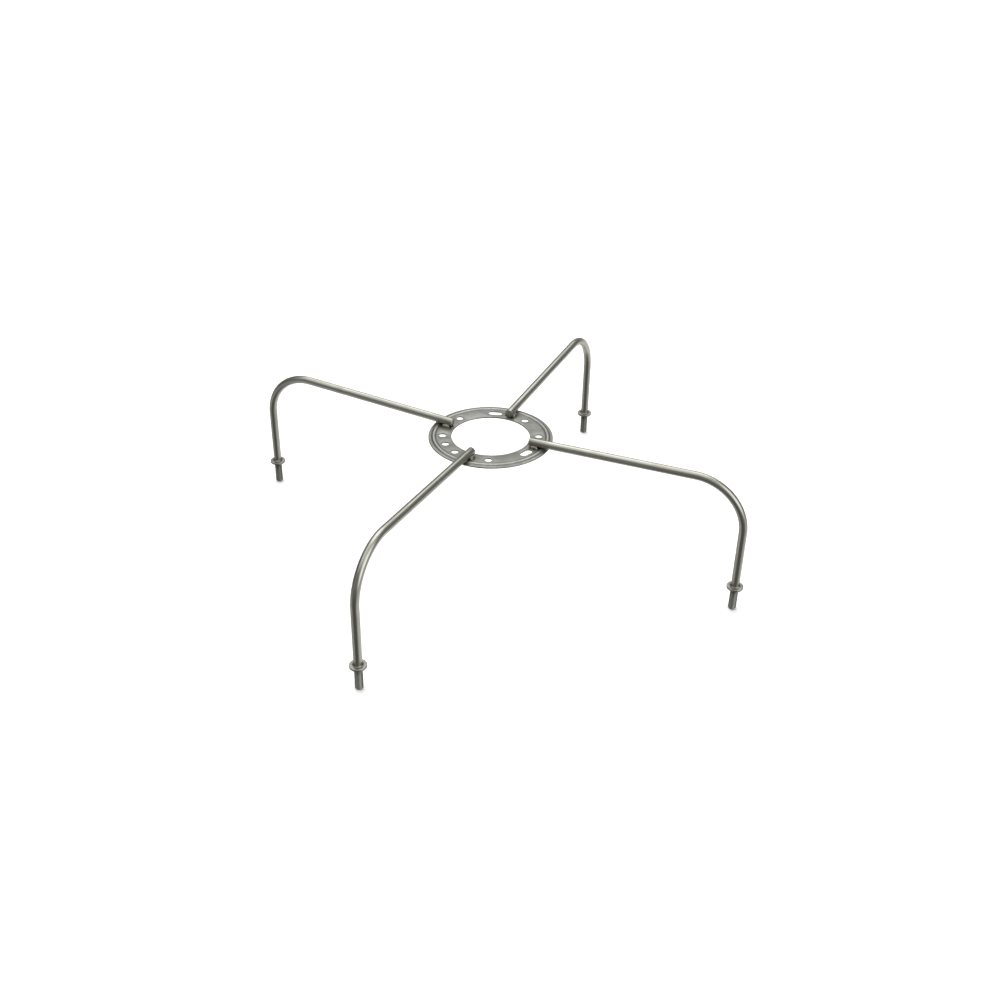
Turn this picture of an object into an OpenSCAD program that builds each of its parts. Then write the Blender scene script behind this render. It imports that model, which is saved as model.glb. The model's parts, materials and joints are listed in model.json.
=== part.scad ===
// Propane burner stand: a stamped ring held up by four bent rods, each with a
// stop collar and a threaded foot.
// Millimetres, +Z up. The origin is at the centre of the base, level with the
// tips of the four studs, and the legs stand on the +X, +Y, -X and -Y axes.

/* [Stand] */
// Diameter of the circle through the four studs' centres
foot_circle_d = 620; // [420:5:800]
// Height of the ring's flat web above the stud tips
ring_z = 147; // [120:1:260]
// Angle at which each arm rises from the ring to its bend
arm_rise = 2.5; // [0:0.1:5]

/* [Rods] */
// Diameter of the round bar
rod_d = 9.525; // [8:0.025:12.7]
// Bend radius, at the centre of the bar
bend_r = 58; // [30:1:80]
// How far the bars' cut ends stand back from the ring's bore
end_setback = 4; // [1:0.5:8]

/* [Studs] */
// Major diameter of the thread on each foot
stud_d = 9.2; // [7.5:0.1:12.5]
// Length of the stud below the collar
stud_l = 28.5; // [15:0.5:60]
// Chamfer on the stud's tip
tip_chamfer = 1.4; // [0.5:0.1:2]

/* [Collars] */
// Diameter of the stop collar welded round each leg
collar_d = 19; // [16:0.5:30]
// Thickness of the collar
collar_t = 3; // [1.5:0.5:6]

/* [Ring] */
// Bore of the ring
ring_in_d = 92.5; // [70:0.5:100]
// Outer diameter of the ring
ring_out_d = 146.5; // [142:0.5:180]
// Thickness of the sheet
sheet_t = 1.6; // [1.2:0.1:2]
// Diameter of the raised bead, measured at its crest
bead_d = 134; // [128:0.5:136]
// Width of the bead
bead_w = 5; // [4:0.5:6]
// Height of the bead above the web
bead_h = 1; // [0.5:0.1:1.2]
// How far the outer flange slopes down at its edge
rim_drop = 0.4; // [0:0.1:1]

/* [Ring holes] */
// Diameter of the circle that all the holes and slots lie on
hole_circle_d = 113; // [110:0.5:116]
// Diameter of a round hole, and width of a slot
hole_d = 8.5; // [5:0.1:10]
// End-to-end length of a slot
slot_l = 17; // [12:0.5:22]
// Directions of the round holes, counterclockwise from +X
hole_angles = [26, 69, 157, 206, 227, 249, 293];
// Directions of the slots, counterclockwise from +X
slot_angles = [110, 342];

/* [Welds] */
// Radius of the weld bead laid along each side of a bar
weld_r = 2.6; // [2:0.1:3]
// Length of that bead
weld_l = 10; // [6:0.5:12]
// Leg of the fillet between a bar and its collar
collar_fillet = 1.2; // [0.5:0.1:2]

/* [Hidden] */
SIDES = ["right", "back", "left", "front"];

$fn = 64;
foot_r = foot_circle_d / 2;
rod_r = rod_d / 2;
stud_r = stud_d / 2;
collar_r = collar_d / 2;
collar_top_z = stud_l + collar_t;
collar_edge = 0.4;

ring_in_r = ring_in_d / 2;
ring_out_r = ring_out_d / 2;
hole_circle_r = hole_circle_d / 2;

// The bead is an arc of bead_arc_r, struck from a centre below the web.
bead_crest_r = bead_d / 2;
bead_arc_r = (bead_h * bead_h + bead_w * bead_w / 4) / (2 * bead_h);
bead_centre_y = bead_h - bead_arc_r;

// Each bar rests on the bead's crest, so its axis is a line that rises outward
// at arm_rise and passes bead_arc_r + rod_r from the centre of the bead's arc.
function arm_axis_z(r) = ring_z + bead_centre_y + (bead_arc_r + rod_r) / cos(arm_rise)
    + (r - bead_crest_r) * tan(arm_rise);

// The bend turns the bar from that slope to straight down.
bend_deg = 90 + arm_rise;
bend_centre_r = foot_r - bend_r;
bend_centre_z = arm_axis_z(foot_r) - bend_r * tan(bend_deg / 2);
arm_outer_r = bend_centre_r + bend_r * cos(bend_deg);
arm_inner_r = ring_in_r + end_setback;
arm_l = (arm_outer_r - arm_inner_r) / cos(arm_rise);

// The arm starts a little way inside the bend and is a hair thinner than it,
// so the two join as one solid.
arm_root = 0.5;
arm_step = 0.01;

// The welds sit midway between the bars' ends and the bead.
weld_mid_r = (arm_inner_r + bead_crest_r - bead_w / 2) / 2;
weld_offset = rod_r - 0.2;
weld_z = 0.9;

steel = [0.62, 0.62, 0.59];
sheet_steel = [0.66, 0.66, 0.63];
weld_tint = [0.5, 0.47, 0.38];

// Stamped ring: flat web, raised bead and slightly sloping outer flange
module ring() {
    color(sheet_steel)
    translate([0, 0, ring_z])
    difference() {
        rotate_extrude($fn = 180) ring_section();
        for (angle = hole_angles) rotate(angle) round_hole();
        for (angle = slot_angles) rotate(angle) slot();
    }
}

// The ring's section: x is the radius, and y the height above the web
module ring_section() {
    difference() {
        union() {
            polygon([
                [ring_in_r, -sheet_t],
                [bead_crest_r, -sheet_t],
                [ring_out_r, -sheet_t - rim_drop],
                [ring_out_r, -rim_drop],
                [bead_crest_r, 0],
                [ring_in_r, 0]
            ]);
            intersection() {
                translate([bead_crest_r, bead_centre_y]) circle(bead_arc_r);
                translate([bead_crest_r - bead_w / 2, -sheet_t]) square([bead_w, sheet_t + bead_h]);
            }
        }
        translate([bead_crest_r, bead_centre_y]) circle(bead_arc_r - sheet_t);
    }
}

module round_hole() {
    translate([hole_circle_r, 0, -2 * sheet_t]) cylinder(d = hole_d, h = 3 * sheet_t);
}

// A slot runs tangentially, with round ends
module slot() {
    end_offset = (slot_l - hole_d) / 2;
    for (side = [-1, 1]) translate([0, side * end_offset, 0]) round_hole();
    translate([hole_circle_r - hole_d / 2, -end_offset, -2 * sheet_t])
        cube([hole_d, 2 * end_offset, 3 * sheet_t]);
}

// One bent bar: arm, bend, upright and threaded foot in one piece, along +X
module leg() {
    color(steel)
    union() {
        arm();
        bend();
        upright();
        stud();
    }
}

// The arm runs inward from the end of the bend to its cut end over the ring
module arm() {
    translate([bend_centre_r, 0, bend_centre_z])
        rotate([0, -bend_deg, 0])
            translate([bend_r, 0, -arm_root]) cylinder(r = rod_r - arm_step, h = arm_l + arm_root);
}

module bend() {
    translate([bend_centre_r, 0, bend_centre_z])
        rotate([90, 0, 0])
            rotate_extrude(angle = bend_deg, $fn = 128) translate([bend_r, 0]) circle(d = rod_d, $fn = 64);
}

// The upright runs down from the bend to the collar's underside
module upright() {
    translate([foot_r, 0, bend_centre_z])
        mirror([0, 0, 1]) cylinder(d = rod_d, h = bend_centre_z - stud_l);
}

// The stud's core reaches up inside the upright
module stud() {
    translate([foot_r, 0, 0]) {
        cylinder(r1 = stud_r - tip_chamfer, r2 = stud_r, h = tip_chamfer);
        translate([0, 0, tip_chamfer]) cylinder(r = stud_r, h = stud_l - tip_chamfer + rod_r);
    }
}

// Two weld beads, one along each side of a bar, cut to fit the bar and the web
module arm_weld() {
    color(weld_tint)
    difference() {
        for (side = [-1, 1]) translate([weld_mid_r, side * weld_offset, ring_z + weld_z]) weld_bead();
        arm();
        translate([0, -2 * rod_d, ring_z - 2 * weld_r]) cube([ring_out_r, 4 * rod_d, 2 * weld_r]);
    }
}

// A round-ended bead that lies along +X
module weld_bead() {
    end_offset = weld_l / 2 - weld_r;
    rotate([0, 90, 0]) cylinder(r = weld_r, h = 2 * end_offset, center = true);
    for (side = [-1, 1]) translate([side * end_offset, 0, 0]) sphere(weld_r);
}

// Stop collar: a disc with broken edges, bored to the bar
module collar() {
    color(steel)
    translate([foot_r, 0, stud_l])
    rotate_extrude()
    polygon([
        [rod_r, 0],
        [collar_r - collar_edge, 0],
        [collar_r, collar_edge],
        [collar_r, collar_t - collar_edge],
        [collar_r - collar_edge, collar_t],
        [rod_r, collar_t]
    ]);
}

// Fillet weld that holds the collar to the bar, on its upper face
module collar_weld() {
    color(weld_tint)
    translate([foot_r, 0, collar_top_z])
    rotate_extrude()
    polygon([[rod_r, 0], [rod_r + collar_fillet, 0], [rod_r, collar_fillet]]);
}

ring();
for (i = [0 : len(SIDES) - 1]) rotate(90 * i) {
    leg();
    arm_weld();
    collar();
    collar_weld();
}
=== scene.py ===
"""Looks of the burner stand: a stamped ring on four bent bars with threaded feet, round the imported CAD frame.

Each mesh is built in millimetres, and a bar's pieces are built along +X. make_piece scales them to metres and
turns them to their side. Named sizes are in millimetres, unless they hold a factor of MM.
"""

import json
import math

import bmesh
import bpy
import numpy as np
from mathutils import Matrix, Vector
from mathutils.geometry import delaunay_2d_cdt


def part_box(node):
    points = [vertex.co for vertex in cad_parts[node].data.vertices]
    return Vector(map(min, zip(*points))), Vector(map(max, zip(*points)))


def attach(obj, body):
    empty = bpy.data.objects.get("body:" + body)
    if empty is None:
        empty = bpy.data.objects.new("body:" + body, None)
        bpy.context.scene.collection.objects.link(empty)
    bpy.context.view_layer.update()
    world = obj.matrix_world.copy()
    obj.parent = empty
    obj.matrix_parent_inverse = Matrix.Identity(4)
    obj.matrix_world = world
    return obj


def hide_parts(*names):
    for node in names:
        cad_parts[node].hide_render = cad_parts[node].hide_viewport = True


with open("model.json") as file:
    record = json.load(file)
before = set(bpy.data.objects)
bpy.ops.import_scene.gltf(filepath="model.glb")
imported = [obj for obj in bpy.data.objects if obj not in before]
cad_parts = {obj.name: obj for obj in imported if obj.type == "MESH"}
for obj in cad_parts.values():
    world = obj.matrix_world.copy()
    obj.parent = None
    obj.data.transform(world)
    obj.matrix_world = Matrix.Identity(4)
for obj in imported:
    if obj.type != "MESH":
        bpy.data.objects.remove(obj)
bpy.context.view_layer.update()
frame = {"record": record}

MM = 0.001
RIGHT_ANGLE = math.pi / 2
SIDES = ("right", "back", "left", "front")

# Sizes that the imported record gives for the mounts, in millimetres
mounts = {mount["name"]: mount["dims"] for mount in frame["record"]["mounts"]}
STUD_R = mounts["foot_studs"]["stud_r_mm"]
RING_IN_R = mounts["burner_bore"]["r_mm"]
SHEET_T = mounts["burner_bore"]["length_mm"]
HOLE_R = mounts["burner_bolt_hole_back"]["r_mm"]

# Sizes shared with the CAD, in millimetres, and the slope of its arms
ARM_RISE = math.radians(2.5)
ROD_R = 4.7625
BEND_R = 58.0
END_SETBACK = 4.0
TIP_R = STUD_R - 1.4
BEAD_CREST_R = 67.0
BEAD_W = 5.0
BEAD_H = 1.0
RIM_DROP = 0.4
HOLE_CIRCLE_R = 56.5
SLOT_HALF = 4.25
WELD_R = 2.6
WELD_L = 10.0
WELD_LIFT = 0.9
COLLAR_FILLET = 1.2

# Directions of the round holes and the slots, in degrees counterclockwise from +X
HOLE_ANGLES = (26, 69, 157, 206, 227, 249, 293)
SLOT_ANGLES = (110, 342)

# Places read from the frame, in millimetres
_, ring_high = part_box("ring")
collar_low, collar_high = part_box("collar_right")
RING_OUT_R = ring_high.x / MM
WEB_Z = ring_high.z / MM - BEAD_H
FOOT_R = (collar_low.x + collar_high.x) / 2 / MM
COLLAR_R = (collar_high.x - collar_low.x) / 2 / MM
COLLAR_Z = collar_low.z / MM
COLLAR_TOP = collar_high.z / MM

BEAD_ARC_R = (BEAD_H**2 + BEAD_W**2 / 4) / (2 * BEAD_H)
BEAD_CENTRE = BEAD_H - BEAD_ARC_R
BEND_TURN = RIGHT_ANGLE + ARM_RISE
BEND_CENTRE_R = FOOT_R - BEND_R
ARM_INNER_R = RING_IN_R + END_SETBACK
ARM_OUTER_R = BEND_CENTRE_R + BEND_R * math.cos(BEND_TURN)


def arm_axis_z(r):
    """Height of an arm's centre line at radius r. The arm rests on the bead's crest."""
    seat = WEB_Z + BEAD_CENTRE + (BEAD_ARC_R + ROD_R) / math.cos(ARM_RISE)
    return seat + (r - BEAD_CREST_R) * math.tan(ARM_RISE)


BEND_CENTRE_Z = arm_axis_z(FOOT_R) - BEND_R * math.tan(BEND_TURN / 2)
ARM_L = (ARM_OUTER_R - ARM_INNER_R) / math.cos(ARM_RISE)
BEND_L = BEND_R * BEND_TURN
COLLAR_S = ARM_L + BEND_L + BEND_CENTRE_Z - COLLAR_Z
TIP_S = COLLAR_S + COLLAR_Z
WELD_MID_R = (ARM_INNER_R + BEAD_CREST_R - BEAD_W / 2) / 2
WELD_OFFSET = ROD_R - 0.2

# Details that only the looks have, in millimetres
CUT_EDGE = 0.45
PITCH = 1.5875
THREAD_DEPTH = 0.6134 * PITCH
THREAD_RELIEF = 1.0
THREAD_RUNOUT = 2.6
SHEARED_EDGE = 0.5
SHEARED_BURR = 0.15
UPPER_EDGE = 0.3
LOWER_EDGE = 0.12
BEAD_FILLET = 0.16
TOP_SINK = 0.012
UNDER_SINK = 0.01
BEAD_FOOT_R = BEAD_CREST_R - BEAD_W / 2 - 1.2
GROOVE_FOOT_R = BEAD_CREST_R - 3.2
COLLAR_TOP_EDGE = 0.7
COLLAR_LOW_EDGE = 0.35
WELD_RIPPLE = 1.35
WELD_LEAN = 0.75
WELD_SUNK = 0.35

# Shares of the bar's radius that a bend changes it by, and counts
BEND_FLATTENED = 0.012
BEND_WIDENED = 0.006
COLUMNS = 48
RING_SEGMENTS = 288
COLLAR_RIPPLES = 19


def quarter_turn(steps):
    """Angles from 0 to a right angle, in equal steps."""
    return [math.radians(90 * k / steps) for k in range(steps + 1)]


def smooth(t):
    """0 below t = 0, 1 above t = 1 and an S-curve between them."""
    t = min(1.0, max(0.0, t))
    return t * t * (3 - 2 * t)


def mark_sharp(bm, degrees):
    """Marks the edges that turn by more than this, so that they shade as edges."""
    limit = math.radians(degrees)
    for e in bm.edges:
        if len(e.link_faces) == 2 and e.calc_face_angle(0) > limit:
            e.smooth = False


def make_piece(name, bm, node, material, turn=0, sharp=38):
    """Turns a bmesh in millimetres into the piece that stands for a CAD node."""
    bmesh.ops.remove_doubles(bm, verts=bm.verts, dist=0.002)
    bmesh.ops.dissolve_degenerate(bm, edges=bm.edges, dist=0.0005)
    loose = [v for v in bm.verts if not v.link_faces]
    bmesh.ops.delete(bm, geom=loose, context="VERTS")
    bmesh.ops.recalc_face_normals(bm, faces=bm.faces)
    mark_sharp(bm, sharp)
    for f in bm.faces:
        f.smooth = True
    bm.transform(Matrix.Rotation(math.radians(turn), 4, "Z") @ Matrix.Scale(MM, 4))
    mesh = bpy.data.meshes.new(name)
    bm.to_mesh(mesh)
    bm.free()
    mesh.materials.append(material)
    piece = bpy.data.objects.new(name, mesh)
    bpy.context.scene.collection.objects.link(piece)
    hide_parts(node)
    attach(piece, "root")


def bridge(bm, a, b):
    """Quads between two closed rows of vertices."""
    for i in range(len(a)):
        j = (i + 1) % len(a)
        bm.faces.new([a[i], a[j], b[j], b[i]])


def cap(bm, row):
    """A fan from a row of vertices to their middle."""
    middle = bm.verts.new(sum((v.co for v in row), Vector()) / len(row))
    for i in range(len(row)):
        bm.faces.new([row[i], row[(i + 1) % len(row)], middle])
    return middle


def revolve(bm, profile, segments, closed=False, ripple=None):
    """Turns (radius, height) points round Z. ripple(angle, radius, height) gives each point's new place."""
    rows = []
    for radius, height in profile:
        row = []
        for i in range(segments):
            a = 2 * math.pi * i / segments
            r, z = ripple(a, radius, height) if ripple else (radius, height)
            row.append(bm.verts.new((r * math.cos(a), r * math.sin(a), z)))
        rows.append(row)
    if closed:
        rows.append(rows[0])
    for a, b in zip(rows, rows[1:]):
        bridge(bm, a, b)


def rounded(corners, steps):
    """A closed outline of (x, y, radius) corners with each corner rounded."""
    out = []
    n = len(corners)
    for i, (x, y, r) in enumerate(corners):
        p = Vector((x, y))
        if r <= 0:
            out.append((x, y))
            continue
        a = (Vector(corners[i - 1][:2]) - p).normalized()
        b = (Vector(corners[(i + 1) % n][:2]) - p).normalized()
        half = a.angle(b) / 2
        centre = p + (a + b).normalized() * (r / math.sin(half))
        start = p + a * (r / math.tan(half)) - centre
        end = p + b * (r / math.tan(half)) - centre
        turn = start.angle_signed(end)
        for k in range(steps + 1):
            v = start.copy()
            v.rotate(Matrix.Rotation(-turn * k / steps, 2))
            out.append(tuple(centre + v))
    return out


# ---------------------------------------------------------------- bars

def bar_rows():
    """Stations down a bar: (centre x, centre z, slope, in-plane radius, side radius, length so far)."""
    straight = []
    for a in quarter_turn(4):
        straight.append((CUT_EDGE * (1 - math.cos(a)), ROD_R - CUT_EDGE * (1 - math.sin(a))))
    steps = 20
    straight += [(CUT_EDGE + (ARM_L - CUT_EDGE) * k / steps, ROD_R) for k in range(1, steps)]
    out = []
    for s, r in straight:
        x = ARM_INNER_R + s * math.cos(ARM_RISE)
        out.append((x, arm_axis_z(x), ARM_RISE, r, r, s))

    # The bend is a little flattened between its ends, as cold bending leaves it
    steps, ease = 44, 10
    for k in range(steps + 1):
        beta = BEND_TURN * (1 - k / steps)
        worked = smooth(k / ease) * smooth((steps - k) / ease)
        x = BEND_CENTRE_R + BEND_R * math.cos(beta)
        z = BEND_CENTRE_Z + BEND_R * math.sin(beta)
        flat, wide = 1 - BEND_FLATTENED * worked, 1 + BEND_WIDENED * worked
        out.append((x, z, beta - RIGHT_ANGLE, ROD_R * flat, ROD_R * wide, ARM_L + BEND_L * k / steps))

    # The upright ends in a small step down to the stud, inside the collar
    step = 0.2
    steps = 8
    for k in range(1, steps + 1):
        z = BEND_CENTRE_Z + (COLLAR_Z + step - BEND_CENTRE_Z) * k / steps
        out.append((FOOT_R, z, -RIGHT_ANGLE, ROD_R, ROD_R, ARM_L + BEND_L + BEND_CENTRE_Z - z))
    for r in (ROD_R - step / 2, STUD_R):
        out.append((FOOT_R, COLLAR_Z, -RIGHT_ANGLE, r, r, COLLAR_S))
    return out


def thread_profile():
    """One turn of the thread: (share of the pitch, depth below the crest)."""
    flank = THREAD_DEPTH * math.tan(math.radians(30)) / PITCH
    crest = 0.125
    root = 1 - crest - 2 * flank
    crest_round, root_round = 0.03, 0.05
    return [
        (0.0, crest_round),
        (crest / 2, 0.0),
        (crest, crest_round),
        (crest + flank / 2, THREAD_DEPTH / 2),
        (crest + flank, THREAD_DEPTH - root_round),
        (crest + flank + root / 2, THREAD_DEPTH),
        (crest + flank + root, THREAD_DEPTH - root_round),
        (1 - flank / 2, THREAD_DEPTH / 2),
    ]


def build_bar():
    """One bar along +X. Each vertex keeps its unbent place (across, across, along) for the material."""
    bm = bmesh.new()
    flat = bm.verts.layers.float_vector.new("unbent")

    def vertex(x, z, slope, rn, rb, s, a):
        n = Vector((-math.sin(slope), 0, math.cos(slope)))
        v = bm.verts.new(Vector((x, 0, z)) + n * (rn * math.cos(a)) + Vector((0, rb * math.sin(a), 0)))
        v[flat] = Vector((rn * math.cos(a), rb * math.sin(a), s)) * MM
        return v

    angles = [2 * math.pi * j / COLUMNS for j in range(COLUMNS)]
    stations = bar_rows()
    rows = [[vertex(*station, a) for a in angles] for station in stations]
    for a, b in zip(rows, rows[1:]):
        bridge(bm, a, b)

    # The cut end, very slightly domed
    x, z, slope, end_r, _, _ = stations[0]
    inner = rows[0]
    for share, dome in ((0.8, 0.0), (0.45, 0.05), (0.15, 0.06)):
        row = [vertex(x - dome, z, slope, end_r * share, end_r * share, 0, a) for a in angles]
        bridge(bm, row, inner)
        inner = row
    cap(bm, inner)[flat] = Vector((0, 0, 0))

    # The thread is one helical strip, cut off level at the collar and at the tip
    profile = thread_profile()
    per = len(profile)
    turns = int(COLLAR_Z / PITCH) + 2
    grid = {}
    for k in range(-per, turns * per + 1):
        for j in range(COLUMNS):
            share, depth = profile[k % per]
            z = COLLAR_Z - PITCH * (k // per + share + j / COLUMNS)
            z = min(COLLAR_Z, max(0.0, z))
            r = STUD_R - depth * smooth((COLLAR_Z - THREAD_RELIEF - z) / THREAD_RUNOUT)
            r = min(r, TIP_R + z)
            grid[k, j] = vertex(FOOT_R, z, -RIGHT_ANGLE, r, r, TIP_S - z, angles[j])
    for k in range(-per, turns * per):
        for j in range(COLUMNS):
            if j + 1 < COLUMNS:
                corners = [(k, j), (k, j + 1), (k + 1, j + 1), (k + 1, j)]
            else:
                corners = [(k, j), (k + per, 0), (k + 1 + per, 0), (k + 1, j)]
            if all(c in grid for c in corners):
                points = [grid[c] for c in corners]
                near_drop = points[0].co.z - points[3].co.z
                far_drop = points[1].co.z - points[2].co.z
                if max(near_drop, far_drop) > 1e-6:
                    bm.faces.new(points)

    # The tip's face, slightly dished
    tip = [vertex(FOOT_R, 0.0, -RIGHT_ANGLE, TIP_R, TIP_R, TIP_S, a) for a in angles]
    for share, dish in ((0.86, 0.0), (0.4, 0.12)):
        row = [vertex(FOOT_R, dish, -RIGHT_ANGLE, TIP_R * share, TIP_R * share, TIP_S, a) for a in angles]
        bridge(bm, tip, row)
        tip = row
    cap(bm, tip)[flat] = Vector((0, 0, TIP_S)) * MM
    return bm


# ---------------------------------------------------------------- ring

def soft_max(a, b):
    """The greater of the two, with a fillet where they cross."""
    return (a + b + math.hypot(a - b, BEAD_FILLET)) / 2


def beaded_height(r, below, arc_r):
    """Height of a face that is level up to the crest and then slopes down, with the bead's arc through it."""
    slope = -RIM_DROP * max(0.0, r - BEAD_CREST_R) / (RING_OUT_R - BEAD_CREST_R)
    arc = BEAD_CENTRE + math.sqrt(max(0.0, arc_r**2 - (r - BEAD_CREST_R) ** 2))
    return soft_max(slope - below, arc)


def top_height(r):
    """Height of the ring's upper face, let down a little because the fillet lifts it."""
    return beaded_height(r, 0.0, BEAD_ARC_R) - TOP_SINK


def under_height(r):
    """Height of the ring's lower face, with the groove behind the bead, let down in the same way."""
    return beaded_height(r, SHEET_T, BEAD_ARC_R - SHEET_T) - UNDER_SINK


def hole_outline(angle, half, grow):
    """Outline of a round hole, or of a slot whose ends' centres are 2 * half apart, grown by grow."""
    radius, out, steps = HOLE_R + grow, [], 20
    for side, start in ((1, 0.0), (-1, math.pi)):
        for k in range(steps + 1 if half else steps):
            t = start + math.pi * k / steps
            out.append((HOLE_CIRCLE_R + radius * math.cos(t), side * half + radius * math.sin(t)))
    c, s = math.cos(math.radians(angle)), math.sin(math.radians(angle))
    return [(x * c - y * s, x * s + y * c) for x, y in out]


def wall_section():
    """Section of a hole's wall, as (how far it stands back, height), with its upper and lower edges."""
    section = []
    for a in quarter_turn(4):
        section.append((UPPER_EDGE * (1 - math.sin(a)), -UPPER_EDGE * (1 - math.cos(a))))
    for a in quarter_turn(2):
        section.append((LOWER_EDGE * (1 - math.cos(a)), -SHEET_T + LOWER_EDGE * (1 - math.sin(a))))
    return section


def web_face(bm, holes, z, inner, outer, grow):
    """One flat face of the web, between two radii and round the holes, each grown by grow."""
    turns = [2 * math.pi * i / RING_SEGMENTS for i in range(RING_SEGMENTS)]
    loops = [[(r * math.cos(t), r * math.sin(t)) for t in turns] for r in (inner, outer)]
    loops += [hole_outline(a, half, grow) for a, half in holes]
    points, edges = [], []
    for loop in loops:
        first = len(points)
        points += [Vector(p) for p in loop]
        edges += [(first + i, first + (i + 1) % len(loop)) for i in range(len(loop))]
    verts, _, faces, *_ = delaunay_2d_cdt(points, edges, [], 0, 1e-6)
    made = [bm.verts.new((v.x, v.y, z)) for v in verts]
    for face in faces:
        middle = sum((verts[i] for i in face), Vector((0, 0))) / len(face)
        in_hole = any(inside_hole(middle, a, half, grow) for a, half in holes)
        if inner < middle.length < outer and not in_hole:
            bm.faces.new([made[i] for i in face])


def build_ring():
    """The stamped ring: a flat web with its holes and slots, the bead, and the flange with a sheared edge."""
    bm = bmesh.new()
    holes = [(a, 0.0) for a in HOLE_ANGLES] + [(a, SLOT_HALF) for a in SLOT_ANGLES]

    # Outer strip: up over the bead, out to the sheared edge and back along the underside
    top = [(r, top_height(r)) for r in np.linspace(BEAD_FOOT_R, RING_OUT_R - SHEARED_EDGE, 56)]
    under = [(r, under_height(r)) for r in np.linspace(RING_OUT_R - SHEARED_BURR, GROOVE_FOOT_R, 48)]
    top[0], under[-1] = (BEAD_FOOT_R, 0.0), (GROOVE_FOOT_R, -SHEET_T)
    roll = []
    for a in quarter_turn(4)[1:]:
        out, down = SHEARED_EDGE * (1 - math.sin(a)), SHEARED_EDGE * (1 - math.cos(a))
        roll.append((RING_OUT_R - out, top[-1][1] - down))
    roll.append((RING_OUT_R, under[0][1] + SHEARED_BURR))
    revolve(bm, top + roll + under, RING_SEGMENTS)

    # Bore and hole walls: a rolled upper edge, and a crisper lower one
    wall = wall_section()
    revolve(bm, [(RING_IN_R + out, z) for out, z in wall], RING_SEGMENTS)
    for angle, half in holes:
        rows = [[bm.verts.new((x, y, z)) for x, y in hole_outline(angle, half, out)] for out, z in wall]
        for a, b in zip(rows, rows[1:]):
            bridge(bm, a, b)

    web_face(bm, holes, 0.0, RING_IN_R + UPPER_EDGE, BEAD_FOOT_R, UPPER_EDGE)
    web_face(bm, holes, -SHEET_T, RING_IN_R + LOWER_EDGE, GROOVE_FOOT_R, LOWER_EDGE)
    bm.transform(Matrix.Translation((0, 0, WEB_Z)))
    return bm


def inside_hole(p, angle, half, grow):
    """Is the point p within a hole's outline?"""
    c, s = math.cos(math.radians(angle)), math.sin(math.radians(angle))
    x, y = p.x * c + p.y * s - HOLE_CIRCLE_R, -p.x * s + p.y * c
    y = max(0.0, abs(y) - half)
    return math.hypot(x, y) < HOLE_R + grow - 1e-4


# ---------------------------------------------------------------- collars and welds

def build_collar():
    """Stop collar: a stamped disc, rolled at its upper rim and crisper below, bored to the bar."""
    bm = bmesh.new()
    bore_r = ROD_R - 0.03
    outline = rounded(
        [
            (bore_r, COLLAR_Z, 0),
            (COLLAR_R, COLLAR_Z, COLLAR_LOW_EDGE),
            (COLLAR_R, COLLAR_TOP, COLLAR_TOP_EDGE),
            (bore_r, COLLAR_TOP, 0),
        ],
        steps=6,
    )
    revolve(bm, outline, segments=96, closed=True)
    bm.transform(Matrix.Translation((FOOT_R, 0, 0)))
    return bm


def hump(step):
    """One ripple of a weld run: a half circle over step = 0 to 1."""
    return math.sqrt(max(0.0, 1 - (2 * step - 1) ** 2))


def build_collar_weld():
    """Fillet run between a bar and its collar, laid in short overlapping steps."""
    bm = bmesh.new()

    def ripple(a, r, z):
        step = (a * COLLAR_RIPPLES / (2 * math.pi) + 0.18 * math.sin(3 * a)) % 1.0
        swell = 0.9 + 0.16 * hump(step) + 0.06 * math.sin(2 * a + 1)
        out = r - ROD_R
        return (ROD_R + out * swell if out > 0 else r), (z * swell if z > 0 else z)

    root, hollow, steps = 0.3, 0.45, 8
    section = [(ROD_R - root, -0.25), (ROD_R - root, COLLAR_FILLET * 0.98)]
    for k, a in enumerate(quarter_turn(steps)):
        bulge = 0.06 * math.sin(2 * a)
        x = (1 - math.cos(a)) * hollow + (1 - hollow) * k / steps
        z = (1 - math.sin(a)) * hollow + (1 - hollow) * (1 - k / steps)
        section.append((ROD_R + COLLAR_FILLET * (x + bulge), COLLAR_FILLET * (z + bulge)))
    section.append((ROD_R + COLLAR_FILLET, -0.25))
    revolve(bm, section, segments=190, closed=True, ripple=ripple)
    bm.transform(Matrix.Translation((FOOT_R, 0, COLLAR_TOP)))
    return bm


def build_arm_weld():
    """Two rippled beads, one along each side of a bar where it crosses the web."""
    bm = bmesh.new()
    stations, around = 90, 28
    for side in (-1, 1):
        rows = []
        for k in range(stations + 1):
            u = 2 * k / stations - 1
            taper = max(0.03, (1 - abs(u) ** 3.2) ** 0.5)
            row = []
            for i in range(around):
                a = 2 * math.pi * i / around
                y, z = math.cos(a), math.sin(a)
                # A ripple lags at the bead's sides, and the steps between ripples vary a little
                lag = 0.55 * (y * y + 0.4 * z)
                step = ((u * WELD_L / 2 + lag + 0.12 * math.sin(5 * u)) / WELD_RIPPLE) % 1.0
                r = WELD_R * taper * (0.965 + 0.055 * hump(step))
                r *= 1 + 0.03 * math.sin(3.1 * u + side)
                point = Vector((
                    WELD_MID_R + u * WELD_L / 2,
                    side * (WELD_OFFSET + r * y * 0.96 - WELD_LEAN * max(0.0, z) * taper),
                    max(-WELD_SUNK, WELD_LIFT * taper + r * z * 0.98),
                ))
                row.append(bm.verts.new(point))
            rows.append(row)
        for a, b in zip(rows, rows[1:]):
            bridge(bm, a, b)
        cap(bm, rows[0])
        cap(bm, rows[-1])
    bm.transform(Matrix.Translation((0, 0, WEB_Z)))
    return bm


# ---------------------------------------------------------------- materials

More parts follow.
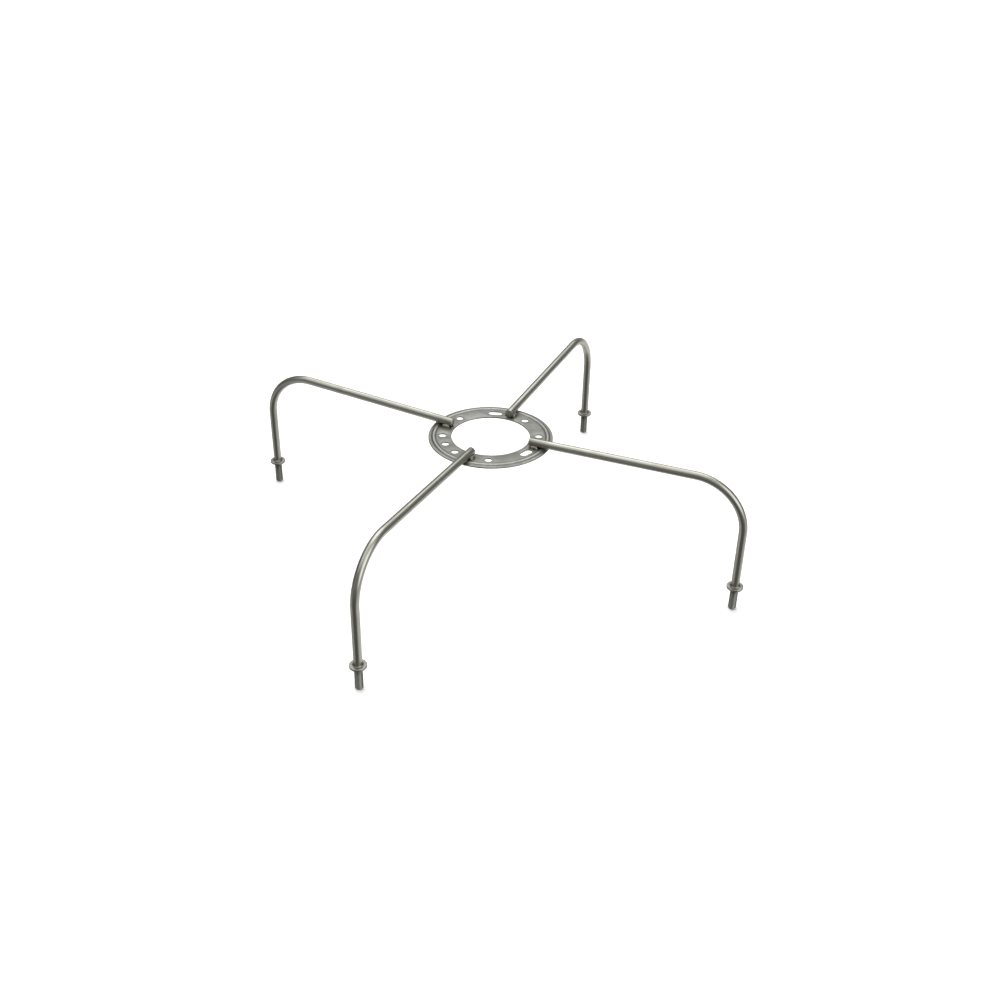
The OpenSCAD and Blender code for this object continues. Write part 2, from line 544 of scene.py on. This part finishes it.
class Graph:
    """Builds one procedural material, or the world's, a node at a time."""

    def __init__(self, owner, shader="BsdfPrincipled", output="OutputMaterial"):
        self.owner = owner
        owner.use_nodes = True
        self.tree = owner.node_tree
        self.tree.nodes.clear()
        self.shader = self.add(shader)
        self.tree.links.new(self.shader.outputs[0], self.add(output).inputs[0])

    def add(self, kind, inputs=(), **settings):
        node = self.tree.nodes.new("ShaderNode" + kind)
        for key, value in settings.items():
            setattr(node, key, value)
        for key, value in dict(inputs).items():
            self.put(node.inputs[key], value)
        return node

    def put(self, socket, value):
        if isinstance(value, bpy.types.NodeSocket):
            self.tree.links.new(value, socket)
        else:
            socket.default_value = value

    def math(self, operation, a, b=0.0):
        return self.add("Math", {0: a, 1: b}, operation=operation).outputs[0]

    def vector(self, operation, a, b=(0, 0, 0)):
        node = self.add("VectorMath", {0: a, 1: b}, operation=operation)
        return node.outputs["Value" if operation in ("LENGTH", "DISTANCE", "DOT_PRODUCT") else "Vector"]

    def noise(self, place, scale, detail=3.0, rough=0.55):
        node = self.add("TexNoise", {"Vector": place, "Scale": scale, "Detail": detail, "Roughness": rough})
        return node.outputs["Fac"]

    def band(self, value, low, high, to_low=0.0, to_high=1.0):
        node = self.add(
            "MapRange",
            {"Value": value, "From Min": low, "From Max": high, "To Min": to_low, "To Max": to_high},
            interpolation_type="SMOOTHSTEP",
        )
        return node.outputs[0]

    def mix(self, factor, a, b):
        node = self.add("Mix", data_type="RGBA")
        self.put(node.inputs[0], factor)
        for socket, value in ((node.inputs[6], a), (node.inputs[7], b)):
            self.put(socket, value if isinstance(value, bpy.types.NodeSocket) else (*value, 1.0))
        return node.outputs[2]

    def ramp(self, factor, stops):
        node = self.add("ValToRGB", {0: factor})
        elements = node.color_ramp.elements
        while len(elements) < len(stops):
            elements.new(0.5)
        for element, (at, colour) in zip(elements, stops):
            element.position = at
            element.color = (*colour, 1.0)
        return node.outputs[0]

    def shades(self, factor, dark, middle, light):
        """Colours for a grain that runs from 0 to 1."""
        return self.ramp(factor, ((0.0, dark), (0.5, middle), (1.0, light)))

    def bump(self, height, strength, distance, below=None):
        node = self.add("Bump", {"Height": height, "Strength": strength, "Distance": distance})
        if below is not None:
            self.put(node.inputs["Normal"], below)
        return node.outputs[0]

    def finish(self, **sockets):
        for key, value in sockets.items():
            self.put(self.shader.inputs[key.replace("_", " ")], value)
        return self.owner


# Heat tint round a weld, from dark scale through dull straw to clean steel. 0 is the weld's middle, and 1 is
# the tint's reach. The ring's sheet is darker than the bars, and so is its tint.
TINT_REACH = 26 * MM
RING_TINT_REACH = 20 * MM
TINT = (
    (0.0, (0.24, 0.235, 0.21)),
    (0.26, (0.27, 0.262, 0.225)),
    (0.42, (0.33, 0.31, 0.25)),
    (0.62, (0.44, 0.43, 0.375)),
    (1.0, (0.52, 0.515, 0.48)),
)
RING_TINT = tuple((at, tuple(0.68 * c for c in colour)) for at, colour in TINT)


def bar_steel():
    """Drawn round bar: lines along it, smudges, heat tint by the welds, and a dull dark cut thread with painted
    shade in its roots.
    """
    g = Graph(bpy.data.materials.new("bar_steel"))
    place = g.add("Attribute", attribute_name="unbent").outputs["Vector"]
    parts = g.add("SeparateXYZ", {0: place})
    along = parts.outputs[2]
    across = g.vector("MULTIPLY", place, (1, 1, 0))
    radius = g.vector("LENGTH", across)
    drawn = g.vector("MULTIPLY", place, (1, 1, 0.012))
    fine = g.noise(drawn, 2600, 4, 0.6)
    coarse = g.noise(drawn, 620, 3, 0.5)
    smudge = g.noise(place, 55, 4, 0.6)
    mottled = g.noise(place, 340, 3, 0.55)

    lines = g.math("ADD", g.math("MULTIPLY", fine, 0.55), g.math("MULTIPLY", coarse, 0.45))
    grain = g.band(lines, 0.32, 0.68)
    colour = g.shades(grain, (0.40, 0.396, 0.35), (0.52, 0.516, 0.468), (0.66, 0.656, 0.60))
    colour = g.mix(g.band(smudge, 0.45, 0.72, 0.0, 0.45), colour, (0.40, 0.39, 0.32))

    # Heat tint at the ring's weld and at the collar's
    weld_s = (WELD_MID_R - ARM_INNER_R) * MM
    from_ring = g.math("ABSOLUTE", g.math("SUBTRACT", along, weld_s))
    from_collar = g.math("ABSOLUTE", g.math("SUBTRACT", along, (COLLAR_S - (COLLAR_TOP - COLLAR_Z)) * MM))
    reach = g.math("MINIMUM", from_ring, g.math("MULTIPLY", from_collar, 2.2))
    wander = g.math("MULTIPLY", g.math("SUBTRACT", g.noise(place, 190, 2), 0.5), 12 * MM)
    reach = g.math("DIVIDE", g.math("ADD", reach, wander), TINT_REACH)
    tint = g.ramp(reach, TINT)
    colour = g.mix(g.band(reach, 0.45, 1.0, 0.3, 0.0), colour, tint)

    # Cut thread: dull and dark, with painted shade in the root that lightens towards the crest
    threaded = g.band(along, (COLLAR_S + 0.2) * MM, (COLLAR_S + 0.6) * MM)
    crest = g.band(radius, (STUD_R - THREAD_DEPTH) * MM, STUD_R * MM)
    cut = g.mix(crest, (0.17, 0.169, 0.155), (0.39, 0.387, 0.355))
    cut = g.mix(g.band(mottled, 0.4, 0.7, 0.0, 0.5), cut, (0.24, 0.237, 0.22))
    colour = g.mix(threaded, colour, cut)

    rough = g.math("ADD", g.band(lines, 0.3, 0.7, 0.27, 0.16), g.band(smudge, 0.45, 0.75, 0.0, 0.10))
    rough = g.math("ADD", rough, g.band(reach, 0.2, 0.9, 0.08, 0.0))
    rough = g.math("ADD", rough, g.math("MULTIPLY", threaded, 0.14))
    normal = g.bump(lines, 0.32, 0.06 * MM)
    normal = g.bump(mottled, 0.10, 0.08 * MM, normal)
    return g.finish(Base_Color=colour, Metallic=1.0, Roughness=rough, Normal=normal)


def weld_spot(g, place):
    """Distance from a point on the ring to the nearest bar's weld, the same on all four sides."""
    parts = g.add("SeparateXYZ", {0: g.vector("ABSOLUTE", place)})
    x, y = parts.outputs[0], parts.outputs[1]
    out = g.math("SUBTRACT", g.math("MAXIMUM", x, y), WELD_MID_R * MM)
    side = g.math("MINIMUM", x, y)
    joined = g.add("CombineXYZ", {0: out, 1: side})
    return g.vector("LENGTH", joined.outputs[0])


def ring_steel():
    """Stamped sheet: rolling lines one way, random scratches, dull patches, heat tint round each weld, grime
    and painted shade in the bead's feet and a painted highlight on its crest.
    """
    g = Graph(bpy.data.materials.new("ring_steel"))
    place = g.add("TexCoord").outputs["Object"]
    rolled = g.vector("MULTIPLY", place, (0.05, 1, 1))
    fine = g.noise(rolled, 1900, 4, 0.6)
    broad = g.noise(place, 48, 4, 0.6)
    mottled = g.noise(place, 420, 3, 0.55)

    scratches = None
    for turn, scale, low in ((35, 900, 0.70), (118, 760, 0.71), (160, 1100, 0.72)):
        turned = g.add("VectorRotate", {"Vector": place, "Angle": math.radians(turn)}, rotation_type="Z_AXIS")
        thin = g.vector("MULTIPLY", turned.outputs[0], (0.04, 1, 1))
        line = g.band(g.noise(thin, scale, 1, 0.4), low, low + 0.05)
        scratches = line if scratches is None else g.math("MAXIMUM", scratches, line)

    grain = g.band(fine, 0.3, 0.7)
    colour = g.shades(grain, (0.27, 0.277, 0.26), (0.34, 0.346, 0.322), (0.43, 0.432, 0.403))
    colour = g.mix(g.band(broad, 0.42, 0.68, 0.0, 0.5), colour, (0.25, 0.258, 0.233))
    colour = g.mix(g.math("MULTIPLY", scratches, 0.35), colour, (0.60, 0.60, 0.57))

    # Grime and painted shade lie in the feet of the bead
    from_crest = g.math("ABSOLUTE", g.math("SUBTRACT", radial(g, place), BEAD_CREST_R * MM))
    foot = g.math("ABSOLUTE", g.math("SUBTRACT", from_crest, (BEAD_W / 2 + 0.3) * MM))
    grime_and_shade = g.band(foot, 0.0, 1.1 * MM, 0.62, 0.0)
    grime_and_shade = g.math("MULTIPLY", grime_and_shade, g.band(mottled, 0.3, 0.6, 0.55, 1.0))
    colour = g.mix(grime_and_shade, colour, (0.10, 0.10, 0.088))
    # A painted highlight along the bead's crest
    painted_highlight = g.band(from_crest, 0.2 * MM, 1.3 * MM, 0.6, 0.0)
    colour = g.mix(painted_highlight, colour, (0.70, 0.70, 0.67))

    reach = g.math("DIVIDE", weld_spot(g, place), RING_TINT_REACH)
    reach = g.math("ADD", reach, g.math("MULTIPLY", g.math("SUBTRACT", g.noise(place, 150, 3), 0.5), 0.7))
    colour = g.mix(g.band(reach, 0.35, 1.0, 0.55, 0.0), colour, g.ramp(reach, RING_TINT))

    rough = g.math("ADD", g.band(fine, 0.3, 0.7, 0.42, 0.30), g.band(broad, 0.42, 0.7, 0.0, 0.12))
    rough = g.math("ADD", rough, g.math("MULTIPLY", grime_and_shade, 0.25))
    normal = g.bump(fine, 0.22, 0.05 * MM)
    normal = g.bump(scratches, 0.25, -0.03 * MM, normal)
    normal = g.bump(g.noise(place, 34, 2, 0.4), 0.35, 0.9 * MM, normal)
    return g.finish(Base_Color=colour, Metallic=1.0, Roughness=rough, Normal=normal)


def radial(g, place, centre=(0, 0, 0)):
    """Distance from a vertical axis through centre."""
    return g.vector("LENGTH", g.vector("MULTIPLY", g.vector("SUBTRACT", place, centre), (1, 1, 0)))


def collar_steel(side, turn):
    """Turned or stamped disc: fine rings round its own axis, a painted highlight on its rim and a darker band
    round the bar.
    """
    g = Graph(bpy.data.materials.new("collar_steel_" + side))
    place = g.add("TexCoord").outputs["Object"]
    a = math.radians(turn)
    centre = (FOOT_R * MM * math.cos(a), FOOT_R * MM * math.sin(a), 0)
    out = radial(g, place, centre)
    height = g.add("SeparateXYZ", {0: place}).outputs[2]
    rings = g.add("CombineXYZ", {0: out, 1: height})
    turned = g.noise(rings.outputs[0], 3200, 3, 0.6)
    mottled = g.noise(place, 420, 3, 0.6)
    broad = g.noise(place, 130, 3, 0.6)
    grain = g.band(turned, 0.3, 0.7)
    colour = g.shades(grain, (0.28, 0.278, 0.255), (0.37, 0.368, 0.34), (0.48, 0.477, 0.445))
    colour = g.mix(g.band(broad, 0.42, 0.62, 0.0, 0.6), colour, (0.20, 0.198, 0.178))
    # A painted highlight round the disc's rim
    painted_highlight = g.band(out, (COLLAR_R - 0.9) * MM, COLLAR_R * MM, 0.0, 0.35)
    colour = g.mix(painted_highlight, colour, (0.62, 0.617, 0.58))
    # The disc is darker in a band close round the bar
    tint = g.band(out, (ROD_R + 0.8) * MM, (ROD_R + 2.6) * MM, 0.8, 0.0)
    colour = g.mix(tint, colour, (0.17, 0.16, 0.13))
    rough = g.math("ADD", g.band(turned, 0.3, 0.7, 0.38, 0.26), g.band(mottled, 0.4, 0.7, 0.0, 0.1))
    normal = g.bump(turned, 0.25, 0.04 * MM)
    normal = g.bump(mottled, 0.12, 0.06 * MM, normal)
    return g.finish(Base_Color=colour, Metallic=1.0, Roughness=rough, Normal=normal)


def weld_metal():
    """Weld beads: grey-brown scale over bright metal, with fine freckles."""
    g = Graph(bpy.data.materials.new("weld_metal"))
    place = g.add("TexCoord").outputs["Object"]
    freckles = g.noise(place, 1500, 4, 0.65)
    patches = g.noise(place, 320, 3, 0.6)
    colour = g.ramp(
        patches,
        (
            (0.30, (0.17, 0.165, 0.14)),
            (0.45, (0.28, 0.265, 0.215)),
            (0.56, (0.36, 0.347, 0.31)),
            (0.70, (0.44, 0.432, 0.40)),
        ),
    )
    colour = g.mix(g.band(freckles, 0.5, 0.75, 0.0, 0.6), colour, (0.14, 0.13, 0.11))
    rough = g.band(freckles, 0.3, 0.7, 0.24, 0.46)
    normal = g.bump(freckles, 0.3, 0.08 * MM)
    return g.finish(Base_Color=colour, Metallic=1.0, Roughness=rough, Normal=normal)


# ---------------------------------------------------------------- pieces

bar_material = bar_steel()
weld_material = weld_metal()
make_piece("ring_sheet", build_ring(), "ring", ring_steel(), sharp=24)
for i, side in enumerate(SIDES):
    turn = 90 * i
    disc_material = collar_steel(side, turn)
    make_piece("bar_" + side, build_bar(), "leg_" + side, bar_material, turn, sharp=50)
    make_piece("bead_" + side, build_arm_weld(), "arm_weld_" + side, weld_material, turn)
    make_piece("disc_" + side, build_collar(), "collar_" + side, disc_material, turn)
    make_piece("fillet_" + side, build_collar_weld(), "collar_weld_" + side, weld_material, turn)


# ---------------------------------------------------------------- stage, light and camera

scene = bpy.context.scene
scene.view_settings.view_transform = "Standard"
scene.view_settings.look = "None"

FLOOR_WIDTH = 60.0


def lay_floor():
    """A plain pale floor, FLOOR_WIDTH metres wide, which the steel doesn't mirror."""
    bm = bmesh.new()
    bmesh.ops.create_grid(bm, x_segments=1, y_segments=1, size=FLOOR_WIDTH / 2)
    mesh = bpy.data.meshes.new("floor")
    bm.to_mesh(mesh)
    bm.free()
    g = Graph(bpy.data.materials.new("floor"))
    mesh.materials.append(g.finish(Base_Color=(0.88, 0.88, 0.88, 1.0), Roughness=0.9))
    card = bpy.data.objects.new("floor", mesh)
    scene.collection.objects.link(card)
    card.visible_glossy = False


lay_floor()

# The room that the steel mirrors, as soft patches: (azimuth, elevation, half width at its rim, half width of
# its full middle, strength), with the angles in degrees. Azimuth runs counterclockwise, seen from above, and
# starts at the camera's side.
FRONT_AZIMUTH = 24.8
ROOM_GREY = 0.25
ROOM_LIGHTS = (
    (0, 90, 60, 22, 0.50),  # overhead
    (178, 56, 36, 10, 1.25),  # behind, high
    (50, 27, 40, 8, 1.35),  # front right
    (-75, 58, 36, 10, 0.28),  # left, high
    (152, -52, 60, 20, 0.55),  # behind, low
    (76, -32, 40, 10, 0.35),  # right, low
    (-95, -40, 42, 12, 0.25),  # left, low
)
ROOM_DARKS = (
    (-12, -30, 46, 10, 0.52),  # front, low
    (-100, 4, 30, 8, 0.38),  # left, level
    (118, 8, 26, 8, 0.2),  # right, level
)


def toward(azimuth, elevation):
    """Unit vector of a direction in the room."""
    a, e = math.radians(azimuth + FRONT_AZIMUTH), math.radians(elevation)
    return (math.sin(a) * math.cos(e), -math.cos(a) * math.cos(e), math.sin(e))


def studio_world():
    """A grey room with soft bright and dark patches. The camera itself sees a plain white backdrop."""
    world = bpy.data.worlds.new("studio")
    g = Graph(world, "Background", "OutputWorld")
    look = g.vector("NORMALIZE", g.add("TexCoord").outputs["Generated"])

    def patch(azimuth, elevation, rim, middle, strength):
        nearness = g.vector("DOT_PRODUCT", look, toward(azimuth, elevation))
        share = g.band(nearness, math.cos(math.radians(rim)), math.cos(math.radians(middle)))
        return g.math("MULTIPLY", share, strength)

    level = ROOM_GREY
    for light in ROOM_LIGHTS:
        level = g.math("ADD", patch(*light), level)
    for dark in ROOM_DARKS:
        level = g.math("MULTIPLY", level, g.math("SUBTRACT", 1.0, patch(*dark)))
    seen = g.add("LightPath").outputs["Is Camera Ray"]
    level = g.math("ADD", g.math("MULTIPLY", level, g.math("SUBTRACT", 1.0, seen)), seen)
    g.put(g.shader.inputs["Strength"], level)
    g.put(g.shader.inputs["Color"], (1.0, 1.0, 0.98, 1.0))
    return world


scene.world = studio_world()


def soft_sun(name, azimuth, elevation, spread, power):
    """A wide, even light that the steel doesn't mirror."""
    data = bpy.data.lights.new(name, "SUN")
    data.energy = power
    data.angle = math.radians(spread)
    lamp = bpy.data.objects.new(name, data)
    scene.collection.objects.link(lamp)
    lamp.rotation_mode = "QUATERNION"
    lamp.rotation_quaternion = Vector(toward(azimuth, elevation)).to_track_quat("Z", "Y")
    lamp.visible_glossy = False


soft_sun("overhead", azimuth=-150, elevation=66, spread=80, power=2.75)

CAMERA_AZIMUTH = math.radians(24.832)
CAMERA_ELEVATION = math.radians(32.185)
CAMERA_ROLL = math.radians(1.18)
CAMERA_LENS = 43.43
CAMERA_TARGET = Vector((70.9, -123.5, 147.0)) * MM
CAMERA_DISTANCE = 1298.6 * MM

back = Vector((
    math.sin(CAMERA_AZIMUTH) * math.cos(CAMERA_ELEVATION),
    -math.cos(CAMERA_AZIMUTH) * math.cos(CAMERA_ELEVATION),
    math.sin(CAMERA_ELEVATION),
))
right = Vector((math.cos(CAMERA_AZIMUTH), math.sin(CAMERA_AZIMUTH), 0))
up = back.cross(right)
turned_right = right * math.cos(CAMERA_ROLL) + up * math.sin(CAMERA_ROLL)
turned_up = back.cross(turned_right)
camera = bpy.data.objects.new("camera", bpy.data.cameras.new("camera"))
scene.collection.objects.link(camera)
camera.data.lens = CAMERA_LENS
camera.data.sensor_width = 36.0
camera.data.clip_start, camera.data.clip_end = 0.05, 60.0
camera.matrix_world = Matrix.Translation(CAMERA_TARGET + back * CAMERA_DISTANCE) @ Matrix(
    (turned_right, turned_up, back)
).transposed().to_4x4()
scene.camera = camera
